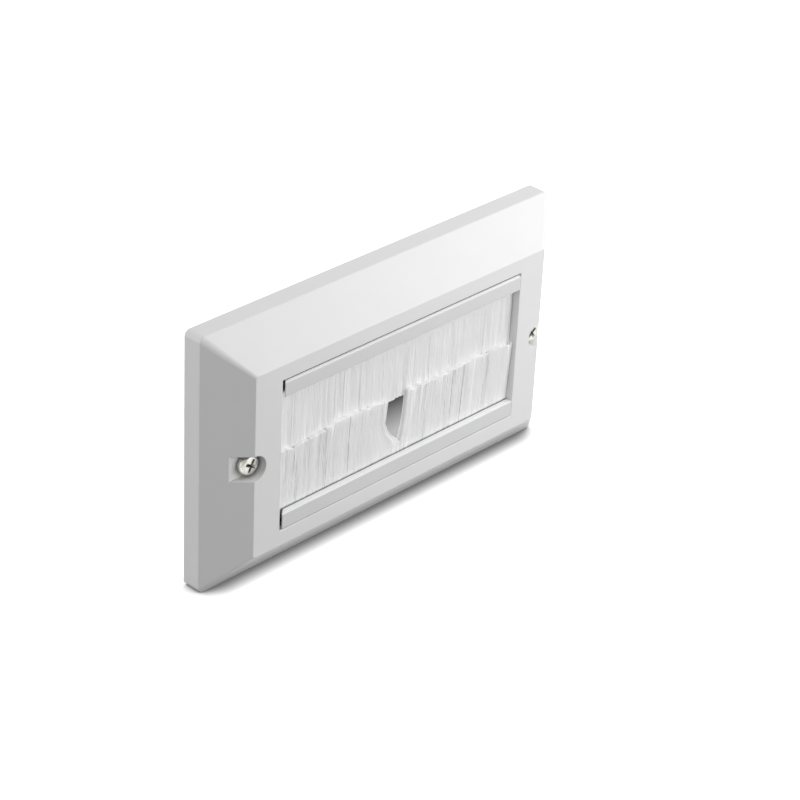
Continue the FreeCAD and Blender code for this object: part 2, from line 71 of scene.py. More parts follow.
class NodeSheet:
    """The node tree of a material or a world, with short calls to add and join nodes."""

    def __init__(self, owner: bpy.types.Material | bpy.types.World, output: str = "OutputMaterial") -> None:
        """Start an empty tree with an output.

        Args:
            owner: The material or world.
            output: Type of the output node without its ShaderNode prefix.
        """
        owner.use_nodes = True
        self.owner = owner
        self.tree = owner.node_tree
        self.tree.nodes.clear()
        self.output = self.add(output)

    @classmethod
    def material(cls, name: str) -> "NodeSheet":
        """Start the tree of a new material with this name."""
        return cls(bpy.data.materials.new(name))

    def add(self, kind: str, inputs: dict[str | int, object] | None = None,
            **settings: object) -> bpy.types.Node:
        """Add a node.

        Args:
            kind: Node type without its ShaderNode prefix.
            inputs: Values or source sockets by input name or place.
            settings: Properties of the node itself.

        Returns:
            The new node.
        """
        node = self.tree.nodes.new("ShaderNode" + kind)
        for key, value in settings.items():
            setattr(node, key, value)
        for key, value in (inputs or {}).items():
            socket = node.inputs[key]
            if isinstance(value, bpy.types.NodeSocket):
                self.tree.links.new(value, socket)
            else:
                socket.default_value = value
        return node

    def place(self) -> bpy.types.NodeSocket:
        """Return the object coordinates' socket."""
        return self.add("TexCoord").outputs["Object"]

    def attribute(self, name: str) -> bpy.types.NodeSocket:
        """Return the socket of a mesh attribute."""
        return self.add("Attribute", attribute_name=name).outputs["Fac"]

    def noise(self, scale: float, detail: float, vector: bpy.types.NodeSocket) -> bpy.types.NodeSocket:
        """Add a noise texture.

        Args:
            scale: Features per metre.
            detail: Octaves.
            vector: Coordinates.

        Returns:
            The noise value's socket.
        """
        return self.add("TexNoise", {"Scale": scale, "Detail": detail, "Vector": vector}).outputs["Fac"]

    def openness(self, reach: float, samples: int, **settings: object) -> bpy.types.NodeSocket:
        """Measure how open the surface is to its surroundings.

        Args:
            reach: Distance in millimetres past which nothing closes it in.
            samples: Rays to each point.
            settings: Other properties of the node.

        Returns:
            The open share's socket.
        """
        node = self.add("AmbientOcclusion", {"Distance": reach * MM}, samples=samples, **settings)
        return node.outputs["AO"]

    def bump(self, height: bpy.types.NodeSocket, depth: float, strength: float,
             normal: bpy.types.NodeSocket | None = None) -> bpy.types.NodeSocket:
        """Raise a fine relief.

        Args:
            height: The relief's socket.
            depth: Its full height in millimetres.
            strength: Share of the relief that is used.
            normal: Normal to start from, where it isn't the mesh's own.

        Returns:
            The new normal's socket.
        """
        inputs = {"Strength": strength, "Distance": depth * MM, "Height": height}
        if normal is not None:
            inputs["Normal"] = normal
        return self.add("Bump", inputs).outputs["Normal"]

    def spread(self, value: bpy.types.NodeSocket, low: float, high: float,
               start: float = 0.3, stop: float = 0.7) -> bpy.types.NodeSocket:
        """Map a value from one range onto another.

        Args:
            value: Source socket.
            low: Result at start.
            high: Result at stop.
            start: Source value that gives low.
            stop: Source value that gives high.

        Returns:
            The mapped value's socket.
        """
        return self.add("MapRange", {
            "Value": value, "From Min": start, "From Max": stop, "To Min": low, "To Max": high,
        }).outputs["Result"]

    def calculate(self, operation: str, first: object, second: object) -> bpy.types.NodeSocket:
        """Work out a value from two others.

        Args:
            operation: Name of the Math node's operation.
            first: First value or socket.
            second: Second value or socket.

        Returns:
            The result's socket.
        """
        return self.add("Math", {0: first, 1: second}, operation=operation).outputs[0]

    def blend(self, fac: object, first: object, second: object, **settings: object) -> bpy.types.NodeSocket:
        """Mix two colours.

        Args:
            fac: Share of the second colour, as a value or a socket.
            first: First colour with its alpha, or its socket.
            second: Second colour with its alpha, or its socket.
            settings: Properties of the Mix node.

        Returns:
            The mixed colour's socket.
        """
        inputs = {"Factor": fac, FIRST_COLOUR: first, SECOND_COLOUR: second}
        return self.add("Mix", inputs, data_type="RGBA", **settings).outputs[MIXED_COLOUR]

    def tint(self, fac: bpy.types.NodeSocket, dark: Colour, light: Colour) -> bpy.types.NodeSocket:
        """Blend two plain colours by a value.

        Args:
            fac: Share of the light colour.
            dark: Colour at 0.
            light: Colour at 1.

        Returns:
            The blended colour's socket.
        """
        return self.blend(fac, (*dark, 1), (*light, 1))

    def product(self, colour: bpy.types.NodeSocket, factor: bpy.types.NodeSocket) -> bpy.types.NodeSocket:
        """Multiply a colour by a value.

        Args:
            colour: The colour's socket.
            factor: The value's socket.

        Returns:
            The product's socket.
        """
        return self.blend(1.0, colour, factor, blend_type="MULTIPLY")

    def show(self, shader: bpy.types.Node) -> None:
        """Join a shader or background to the output."""
        self.tree.links.new(shader.outputs[0], self.output.inputs["Surface"])

    def finish(self, **inputs: object) -> bpy.types.Material:
        """Join a Principled shader to the output.

        Args:
            inputs: Its inputs by name, with underscores for spaces.

        Returns:
            The finished material.
        """
        self.show(self.add(
            "BsdfPrincipled", {key.replace("_", " "): value for key, value in inputs.items()}))
        return self.owner


def shaded(colour: Colour, factor: float) -> Colour:
    """Return a colour with each channel multiplied by a factor."""
    return tuple(channel * factor for channel in colour)


@dataclass(frozen=True)
class SatinPlastic:
    """White injection-moulded plastic with a fine spark-eroded grain.

    Texture scales are features per metre. Where the surface is closed in
    within gap_reach its colour darkens towards gap_shade, as painted shade in
    gaps and recesses, and faces that look up are lighter by a set factor, as
    painted top light.
    """

    name: str
    colour: Colour = (0.86, 0.86, 0.865)
    refraction: float = 1.49
    roughness: float = 0.4
    roughness_swing: float = 0.06
    polish_scale: float = 400.0
    mottle: float = 0.985
    mottle_scale: float = 90.0
    grain_scale: float = 5200.0
    grain_height: float = 0.004
    grain_strength: float = 0.5
    swell_scale: float = 60.0
    swell_height: float = 0.02
    swell_strength: float = 0.4
    edge_radius: float = 0.22
    edge_samples: int = 6
    # Painted shade in gaps and recesses.
    gap_reach: float = 4.0
    gap_shade: float = 0.3
    gap_closed: float = 0.1
    gap_open: float = 0.72
    gap_local: bool = True
    gap_samples: int = 8
    # Painted top light: faces that look up are lightened by this factor.
    painted_top_light: float = 1.0
    painted_top_light_span: Span = (0.05, 0.6)

    def build(self) -> bpy.types.Material:
        """Mix the finish.

        Returns:
            The material.
        """
        sheet = NodeSheet.material(self.name)
        place = sheet.place()
        cloud = sheet.noise(self.mottle_scale, 3.0, place)
        # Painted shade: the colour darkens where the surface is closed in.
        open_share = sheet.openness(self.gap_reach, self.gap_samples, only_local=self.gap_local)
        painted_gap_shade = sheet.spread(open_share, self.gap_shade, 1.0, self.gap_closed, self.gap_open)
        bevel = sheet.add("Bevel", {"Radius": self.edge_radius * MM}, samples=self.edge_samples)
        edge = bevel.outputs["Normal"]
        swell = sheet.bump(
            sheet.noise(self.swell_scale, 1.0, place), self.swell_height, self.swell_strength, edge)
        grain = sheet.bump(
            sheet.noise(self.grain_scale, 2.0, place), self.grain_height, self.grain_strength, swell)
        body = sheet.tint(sheet.spread(cloud, 0.0, 1.0), shaded(self.colour, self.mottle), self.colour)
        # Painted top light on faces that look up.
        rise = sheet.add("SeparateXYZ", {"Vector": edge}).outputs["Z"]
        body = sheet.product(body, sheet.spread(rise, 1.0, self.painted_top_light, *self.painted_top_light_span))
        dull, polished = self.roughness + self.roughness_swing, self.roughness - self.roughness_swing
        return sheet.finish(
            Base_Color=sheet.product(body, painted_gap_shade),
            Roughness=sheet.spread(sheet.noise(self.polish_scale, 2.0, place), polished, dull),
            Normal=grain,
            IOR=self.refraction,
        )


@dataclass(frozen=True)
class NylonFilament:
    """White nylon filament, a little different from one to the next.

    The mesh carries the filament's own shade, its gloom, which is painted
    shade for how deep in shadow it lies, and the place along it from root,
    0, to tip, 1. The colour is darkened near the root as painted shade and
    lightened at the tip as painted light, and the filament glows a little
    in its own colour as painted light for light carried through and between
    the filaments.
    """

    name: str = "nylon_filament"
    deep: Colour = (0.90, 0.90, 0.90)
    pale: Colour = (0.97, 0.97, 0.97)
    # Painted light: the tips are lightened towards this colour.
    tip: Colour = (0.99, 0.99, 0.99)
    painted_tip_light_span: Span = (0.955, 0.985)
    refraction: float = 1.53
    roughness: float = 0.42
    roughness_swing: float = 0.08
    # A weak glow in the filament's own colour: painted light for light carried through and between the
    # filaments.
    painted_glow: float = 0.125
    # Painted shade: gloom darkens the colour towards gloom_shade.
    gloom_shade: float = 0.42
    # Painted shade: near the root the colour darkens towards root_shade.
    root_shade: float = 0.25
    root_span: Span = (0.085, 0.118)

    def build(self) -> bpy.types.Material:
        """Mix the finish.

        Returns:
            The material.
        """
        sheet = NodeSheet.material(self.name)
        shade = sheet.attribute("shade")
        along = sheet.attribute("along")
        body = sheet.tint(shade, self.deep, self.pale)
        # Painted light towards the tips.
        body = sheet.blend(sheet.spread(along, 0.0, 1.0, *self.painted_tip_light_span), body, (*self.tip, 1))
        # Painted shade by the gloom.
        gloom = sheet.attribute("gloom")
        colour = sheet.product(body, sheet.spread(gloom, 1.0, self.gloom_shade, 0.0, 1.0))
        # Painted shade near the root.
        colour = sheet.product(colour, sheet.spread(along, self.root_shade, 1.0, *self.root_span))
        dull, polished = self.roughness + self.roughness_swing, self.roughness - self.roughness_swing
        return sheet.finish(
            Base_Color=colour,
            Roughness=sheet.spread(shade, dull, polished, 0.0, 1.0),
            IOR=self.refraction,
            # Painted glow.
            Emission_Color=colour,
            Emission_Strength=self.painted_glow,
        )


@dataclass(frozen=True)
class PlatedSteel:
    """Steel with a thin plating, clouded and finely scratched.

    A streak scale under 1 stretches the clouds and scratches that way.
    Where the surface is closed in within gap_reach its colour darkens
    towards gap_shade, as painted shade.
    """

    name: str
    dark: Colour
    light: Colour
    roughness: float
    cloud_scale: float
    streak: Place = (1.0, 1.0, 1.0)
    roughness_swing: float = 0.08
    scratch_fineness: float = 9.0
    scratch_height: float = 0.004
    scratch_strength: float = 0.5
    # Painted shade in gaps and recesses.
    gap_reach: float = 1.1
    gap_shade: float = 0.1
    gap_span: Span = (0.35, 0.9)
    gap_samples: int = 8

    def build(self) -> bpy.types.Material:
        """Mix the finish.

        Returns:
            The material.
        """
        sheet = NodeSheet.material(self.name)
        place = sheet.place()
        # Painted shade: the colour darkens where the surface is closed in.
        open_share = sheet.openness(self.gap_reach, self.gap_samples)
        painted_gap_shade = sheet.spread(open_share, self.gap_shade, 1.0, *self.gap_span)
        stretched = sheet.add("Mapping", {"Vector": place, "Scale": self.streak}).outputs["Vector"]
        cloud = sheet.noise(self.cloud_scale, 3.0, stretched)
        scratch = sheet.noise(self.cloud_scale * self.scratch_fineness, 2.0, stretched)
        body = sheet.tint(sheet.spread(cloud, 0.0, 1.0), self.dark, self.light)
        dull, polished = self.roughness + self.roughness_swing, self.roughness - self.roughness_swing
        return sheet.finish(
            Base_Color=sheet.product(body, painted_gap_shade),
            Metallic=1.0,
            Roughness=sheet.spread(cloud, dull, polished),
            Normal=sheet.bump(scratch, self.scratch_height, self.scratch_strength),
        )


PLATE_PLASTIC = SatinPlastic("plate_plastic_satin")
# The rails' colour is darker than the plate's, partly as painted shade on their fronts; their gaps take a
# deeper painted shade, and faces that look up get painted top light.
RAIL_PLASTIC = SatinPlastic(
    "rail_plastic_satin", colour=(0.76, 0.76, 0.765), roughness=0.42, edge_radius=0.5,
    gap_reach=2.0, gap_shade=0.12, gap_open=0.4, gap_local=False, painted_top_light=1.2)
GALVANISED = PlatedSteel(
    "galvanised_sheet", dark=(0.50, 0.51, 0.52), light=(0.66, 0.67, 0.68), roughness=0.42,
    cloud_scale=420.0, streak=(0.35, 1.0, 1.0))
NICKEL = PlatedSteel(
    "nickel_plating", dark=(0.40, 0.395, 0.36), light=(0.62, 0.615, 0.57), roughness=0.38,
    cloud_scale=900.0)
NYLON = NylonFilament()


def dress(nodes: tuple[str, ...], material: bpy.types.Material) -> None:
    """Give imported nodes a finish.

    Args:
        nodes: Names of the nodes.
        material: The finish.
    """
    for name in nodes:
        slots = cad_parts[name].data.materials
        slots.clear()
        slots.append(material)
        log.info("%s: %s", name, material.name)


def link(name: str, data: bpy.types.ID) -> bpy.types.Object:
    """Put a mesh, a lamp or a camera in the scene.

    Args:
        name: Name of the object.
        data: What it holds.

    Returns:
        The new object.
    """
    thing = bpy.data.objects.new(name, data)
    bpy.context.scene.collection.objects.link(thing)
    return thing


def mesh_of(name: str, bm: bmesh.types.BMesh) -> bpy.types.Mesh:
    """Turn a bmesh into a mesh and free it.

    Args:
        name: Name of the mesh.
        bm: The bmesh.

    Returns:
        The new mesh.
    """
    mesh = bpy.data.meshes.new(name)
    bm.to_mesh(mesh)
    bm.free()
    return mesh


def merge(whole: bmesh.types.BMesh, part: bmesh.types.BMesh) -> None:
    """Add one bmesh to another and free it.

    Args:
        whole: The bmesh that grows.
        part: The bmesh that is added.
    """
    scrap = mesh_of("scrap", part)
    whole.from_mesh(scrap)
    bpy.data.meshes.remove(scrap)


def add_piece(name: str, mesh: bpy.types.Mesh, material: bpy.types.Material,
              stands_for: tuple[str, ...]) -> bpy.types.Object:
    """Link a finished mesh as a piece that rides on the plate.

    Args:
        name: Name of the piece.
        mesh: Its mesh, in place and in metres.
        material: Its finish.
        stands_for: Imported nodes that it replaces.

    Returns:
        The new object.
    """
    mesh.name = name
    mesh.materials.clear()
    mesh.materials.append(material)
    piece = link(name, mesh)
    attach(piece, BODY)
    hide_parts(*stands_for)
    log.info("%s: %d faces", name, len(mesh.polygons))
    return piece


@dataclass(frozen=True)
class FilamentLayer:
    """One layer of filaments: its share of them and where it lies, as parts of the strip's depth."""

    share: float
    front: float
    back: float


@dataclass(frozen=True)
class Split:
    """A small split between two clumps."""

    x: float
    width: float


@dataclass
class Roots:
    """Where every filament of a bank starts, its layer and its clump."""

    x: np.ndarray
    y: np.ndarray
    layer: np.ndarray
    clump: np.ndarray
    clump_edges: np.ndarray


@dataclass
class Strands:
    """Every filament of a bank: its centre line, its own shade and its gloom, the painted shade it takes
    for lying deep in shadow.
    """

    lines: np.ndarray
    shades: np.ndarray
    glooms: np.ndarray


@dataclass
class StripBrush:
    """One bank of nylon filaments round a closed heart of packed filament.

    The upper bank's tips lean into the wall by lean, and the lower bank's
    lean out of it. A clump has its own shift, depth, reach and shade, and
    each strand adds a little of its own. The lower bank parts at parting_x,
    where its tips are pushed to the left and right, and it has small splits
    besides. From thin_from to its right end a bank is thinner and carries a
    little painted shade. Gloom is painted shade on the back filaments and the
    heart beside the parting and the splits, and on the roots at the left end.
    """

    end: End
    node: str
    seed: int
    count: int = 4500
    filament_d: float = 0.17
    steps: tuple[float, ...] = (0.0, 0.25, 0.45, 0.65, 1.0)
    left_x: float = -49.3
    right_x: float = 50.1
    root_z: float = 22.2
    strip_y: float = -13.75
    depth: float = 1.6
    tip_depth: float = 1.7
    curl: float = 1.15
    lean: float = 0.45
    layers: tuple[FilamentLayer, ...] = (
        FilamentLayer(0.58, -0.5, -0.34), FilamentLayer(0.26, 0.3, 0.5), FilamentLayer(0.16, -0.34, 0.3))
    clump_narrow: float = 0.6
    clump_wide: float = 2.1
    clump_shift: float = 0.12
    clump_depth: float = 0.1
    clump_reach: float = 0.2
    clump_shade: float = 0.16
    clump_gather: Span = (0.0, 0.08)
    strand_shift: float = 0.16
    strand_depth: float = 0.07
    strand_shade: float = 0.2
    stray_share: float = 0.05
    stray_shift: float = 1.2
    overrun: float = 0.2
    ragged: float = 0.16
    bow: float = 0.1
    bow_own_share: float = 0.25
    bow_depth_share: float = 0.3
    upper_tip_z: float = -0.8
    lower_tips: tuple[Span, ...] = (
        (-48.0, 0.2), (-44.0, -0.1), (-40.8, 0.0), (-37.2, 0.4), (-32.1, 0.5), (-26.3, 1.7), (-21.5, 1.6),
        (-11.3, 1.2), (-6.4, 0.7), (4.7, 1.0), (12.0, 0.6), (17.0, 0.2), (23.9, 0.6), (28.0, 1.1),
        (32.1, 1.1), (36.4, 0.8), (40.0, 0.7), (44.9, 1.0), (49.3, 0.1))
    parting_x: float = 2.0
    parting_left: float = 8.0
    parting_right: float = 1.6
    left_spread: float = 8.0
    right_spread: float = 3.0
    parting_open: Span = (0.2, 0.62)
    splits: tuple[Split, ...] = ()
    split_spread: float = 0.9
    split_open: Span = (0.35, 1.0)
    split_depth: float = 0.9
    # Gloom is painted shade: it darkens filaments and the heart beside the parting and the splits.
    gloom_reach: float = 0.7
    gloom_share: float = 0.55
    thin_from: float = 60.0
    thin_over: float = 1.0
    thin_short: float = 6.0
    # Painted shade on the thin right end.
    thin_gloom: float = 0.4
    # Painted shade on the roots at the left end, where the rail's end slot lies.
    corner_gloom: float = 1.3
    corner_reach: float = 0.22
    heart_inset: float = 0.17
    heart_short: float = 0.4
    heart_pitch: float = 0.22
    heart_rows: int = 12
    heart_relief: float = 0.05

    def tip_line(self, x: np.ndarray) -> np.ndarray:
        """Height of the tips across the bank.

        Args:
            x: Places in X.

        Returns:
            The tips' Z at each place.
        """
        if self.end is End.UPPER:
            return np.full_like(x, self.upper_tip_z)
        places, heights = zip(*self.lower_tips)
        return np.interp(x, places, heights)

    def pushed(self, x: np.ndarray) -> np.ndarray:
        """Sideways push of the lower tips beside the parting.

        Args:
            x: Places in X at the root.

        Returns:
            The shift in X of each tip.
        """
        if self.end is End.UPPER:
            return np.zeros_like(x)
        left = -self.parting_left * np.exp(np.minimum(x - self.parting_x, 0.0) / self.left_spread)
        right = self.parting_right * np.exp(np.minimum(self.parting_x - x, 0.0) / self.right_spread)
        return np.where(x < self.parting_x, left, right)

    @staticmethod
    def opened(step: np.ndarray | float, span: Span) -> np.ndarray | float:
        """Share of a push at a place along the filaments.

        Args:
            step: Place along, 0 at the root and 1 at the tip.
            span: Places where the push starts and where it is full.

        Returns:
            The share, 0 to 1, which starts and ends smoothly.
        """
        start, stop = span
        share = np.clip((step - start) / (stop - start), 0.0, 1.0)
        return share * share * (3 - 2 * share)

    def thinned(self, x: np.ndarray) -> np.ndarray:
        """Share of thinning towards the bank's right end, 0 to 1, at places in X."""
        return self.opened(x, (self.thin_from, self.thin_from + self.thin_over))

    def split_apart(self, x: np.ndarray) -> np.ndarray:
        """Sideways push of the tips beside the small splits between clumps.

        Args:
            x: Places in X at the root.

        Returns:
            The shift in X of each tip.
        """
        total = np.zeros_like(x)
        for split in self.splits:
            away = x - split.x
            total += np.copysign(split.width * np.exp(-np.abs(away) / self.split_spread), away)
        return total

    def gloomy(self, x: np.ndarray) -> np.ndarray:
        """Share of painted shade on what lies deep beside the parting and the splits, and towards the thin
        right end.

        Args:
            x: Places in X at the root.

        Returns:
            The shade, 0 to 1.
        """
        total = self.thin_gloom * self.thinned(x)
        if self.end is End.LOWER:
            total = total + self.gloom_share * np.exp(-np.abs(x - self.parting_x) / self.gloom_reach)
        for split in self.splits:
            total = total + np.exp(-((x - split.x) / split.width) ** 2)
        return np.clip(total, 0.0, 1.0)

    def roots(self, chance: np.random.Generator) -> Roots:
        """Scatter the roots over the strip, in clumps of uneven width.

        Args:
            chance: Source of random numbers.

        Returns:
            The roots.
        """
        edges = [self.left_x]
        while edges[-1] < self.right_x:
            edges.append(edges[-1] + chance.uniform(self.clump_narrow, self.clump_wide))
        edges = np.array(edges)
        radius = self.filament_d / 2
        x = chance.uniform(self.left_x + radius, self.right_x - radius, self.count)
        layer = chance.choice(len(self.layers), self.count, p=[one.share for one in self.layers])
        fronts, backs = np.array([(one.front, one.back) for one in self.layers]).T
        y = chance.uniform(fronts[layer], backs[layer])
        return Roots(x, y, layer, np.searchsorted(edges, x) - 1, edges)

    def tips(self, chance: np.random.Generator, roots: Roots) -> np.ndarray:
        """Gather, shift and cut the tips, before anything parts them.

        Args:
            chance: Source of random numbers.
            roots: The filaments' roots.

        Returns:
            The tips' places in millimetres, as filaments by three.
        """
        clump, edges = roots.clump, roots.clump_edges
        clumps = len(edges)
        side = self.end.value
        middle = (edges[clump] + edges[np.minimum(clump + 1, clumps - 1)]) / 2
        gather = chance.uniform(*self.clump_gather, clumps)[clump]
        shift = chance.normal(0, self.clump_shift, clumps)[clump]
        reach = chance.normal(0, self.clump_reach, clumps)[clump]
        own_shift = chance.normal(0, self.strand_shift, self.count)
        x = middle + (roots.x - middle) * (1 - gather) + shift + own_shift
        strays = chance.random(self.count) < self.stray_share
        x += strays * chance.normal(0, self.stray_shift, self.count)
        x = np.clip(x, self.left_x - self.overrun, self.right_x + self.overrun)
        if self.end is End.LOWER:
            stays = (roots.x < self.parting_x) == (x < self.parting_x)
            x = np.where(stays, x, 2 * self.parting_x - x)
        y = roots.y * self.tip_depth + side * self.lean + chance.normal(0, self.strand_depth, self.count)
        y += chance.normal(0, self.clump_depth, clumps)[clump]
        reach = reach + chance.normal(0, self.ragged, self.count)
        return np.stack([x, self.strip_y + y, self.tip_line(x + self.pushed(roots.x)) - side * reach], 1)

    def sway(self, chance: np.random.Generator, roots: Roots) -> np.ndarray:
        """Bow the filaments a little, each clump mostly as one.

        Args:
            chance: Source of random numbers.
            roots: The filaments' roots.

        Returns:
            The bows sideways and outwards, as filaments by two.
        """
        sway = chance.normal(0, self.bow, (len(roots.clump_edges), 2))[roots.clump]
        sway += chance.normal(0, self.bow * self.bow_own_share, (self.count, 2))
        sway[:, 1] = self.bow_depth_share * np.abs(sway[:, 1]) * np.sign(roots.y)
        return sway

    def strands(self) -> Strands:
        """Lay out every filament, in millimetres.

        Returns:
            The filaments, whose lines are filaments by points by three.
        """
        chance = np.random.default_rng(self.seed)
        roots = self.roots(chance)
        tip = self.tips(chance, roots)
        sway = self.sway(chance, roots)
        own_shade = chance.normal(0, self.strand_shade, self.count)
        clump_shade = chance.normal(0, self.clump_shade, len(roots.clump_edges))[roots.clump]
        level = np.full(self.count, self.end.value * self.root_z)
        root = np.stack([roots.x, self.strip_y + roots.y * self.depth, level], 1)
        steps = np.array(self.steps)
        lines = root[:, None] + (tip - root)[:, None] * (steps ** self.curl)[None, :, None]
        lines[:, :, 2] = root[:, None, 2] + (tip - root)[:, None, 2] * steps[None]
        lines[:, :, :2] += sway[:, None] * np.sin(math.pi * steps)[None, :, None]
        lines[:, :, 0] += self.pushed(roots.x)[:, None] * self.opened(steps, self.parting_open)[None]
        lines[:, :, 0] += self.split_apart(roots.x)[:, None] * self.opened(steps, self.split_open)[None]
        return Strands(
            lines, np.clip(0.5 + own_shade + clump_shade, 0, 1),
            np.where(roots.layer > 0, self.gloomy(roots.x), 0.0))

    def tubes(self) -> bpy.types.Mesh:
        """Run a thin tube along every filament's line.

        Returns:
            The filaments' mesh, with the attributes shade, gloom and along.
        """
        strands = self.strands()
        lines = strands.lines * MM
        curve = bpy.data.curves.new(self.node, "CURVE")
        curve.dimensions = "3D"
        curve.bevel_depth = self.filament_d / 2 * MM
        curve.bevel_resolution = 0
        curve.use_fill_caps = True
        for line in lines:
            spline = curve.splines.new("POLY")
            spline.points.add(len(line) - 1)
            spline.points.foreach_set("co", np.c_[line, np.ones(len(line))].ravel())
        holder = bpy.data.objects.new(self.node, curve)
        mesh = bpy.data.meshes.new_from_object(holder)
        bpy.data.objects.remove(holder)
        bpy.data.curves.remove(curve)
        each = len(mesh.vertices) // self.count
        places = np.empty(len(mesh.vertices) * 3)
        mesh.vertices.foreach_get("co", places)
        height = places.reshape(self.count, each, 3)[:, :, 2]
        first, last = lines[:, 0, 2, None], lines[:, -1, 2, None]
        along = (height - first) / (last - first)
        # Painted shade on the filaments' roots at the bank's left end.
        painted_corner_shade = (lines[:, :1, 0] / MM < self.left_x + self.corner_gloom) & (along < self.corner_reach)
        values = {
            "shade": np.repeat(strands.shades, each),
            "gloom": np.maximum(strands.glooms[:, None], painted_corner_shade).ravel(),
            "along": along.ravel(),
        }
        for name, data in values.items():
            mesh.attributes.new(name, "FLOAT", "POINT").data.foreach_set("value", data.astype(np.float32))
        return mesh

    def heart(self, left: float, right: float) -> bmesh.types.BMesh:
        """Fill the middle of the bank between two roots with one closed body.

        Args:
            left: Root of its left side in X.
            right: Root of its right side in X.

        Returns:
            The body, in metres.
        """
        chance = np.random.default_rng(self.seed + round(right))
        columns = round((right - left) / self.heart_pitch)
        side = self.end.value
        root_x = np.linspace(left, right, columns + 1)
        push = self.pushed(root_x)
        short = self.heart_short + self.thin_short * self.thinned(root_x)
        tip_z = self.tip_line(root_x + push) + side * (short + chance.normal(0, self.ragged, columns + 1))
        front, back = chance.normal(0, self.heart_relief, (2, columns + 1))
        for split in self.splits:
            front -= self.split_depth * np.exp(-((root_x - split.x) / split.width) ** 2)
        # Painted shade on the heart beside the parting and the splits.
        gloom = self.gloomy(root_x)
        bm = bmesh.new()
        marks = {name: bm.verts.layers.float.new(name) for name in ("shade", "gloom", "along")}
        bmesh.ops.create_grid(bm, x_segments=columns, y_segments=self.heart_rows, size=0.5)
        lifted = bmesh.ops.extrude_face_region(bm, geom=bm.faces[:])["geom"]
        bmesh.ops.translate(
            bm, verts=[part for part in lifted if isinstance(part, bmesh.types.BMVert)], vec=(0, 0, 1))
        for vert in bm.verts:
            column = round((vert.co.x + 0.5) * columns)
            step = vert.co.y + 0.5
            vert[marks["shade"]], vert[marks["gloom"]], vert[marks["along"]] = 1.0, gloom[column], step
            bend = step ** self.curl
            half = (self.depth + (self.tip_depth - self.depth) * bend) / 2 - self.heart_inset
            out = half + back[column] * step if vert.co.z > 0.5 else -(half + front[column] * step)
            vert.co = Vector((
                root_x[column] + push[column] * self.opened(step, self.parting_open),
                self.strip_y + side * self.lean * bend + out,
                side * self.root_z + (tip_z[column] - side * self.root_z) * step)) * MM
        if bm.calc_volume(signed=True) < 0:
            bmesh.ops.reverse_faces(bm, faces=bm.faces)
        return bm

    def mesh(self) -> bpy.types.Mesh:
        """Join the heart and the filaments.

        Returns:
            The bank's mesh.
        """
        mesh = self.tubes()
        whole = bmesh.new()
        whole.from_mesh(mesh)
        spans = [(self.left_x, self.right_x)]
        if self.end is End.LOWER:
            spans = [(self.left_x, self.parting_x), (self.parting_x, self.right_x)]
        for left, right in spans:
            merge(whole, self.heart(left + self.heart_inset, right - self.heart_inset))
        whole.to_mesh(mesh)
        whole.free()
        mesh.shade_smooth()
        return mesh

    def build(self, material: bpy.types.Material) -> bpy.types.Object:
        """Make the bank as a piece.

        Args:
            material: The filaments' finish.

        Returns:
            The piece.
        """
        return add_piece(self.node + "_filaments", self.mesh(), material, (self.node,))


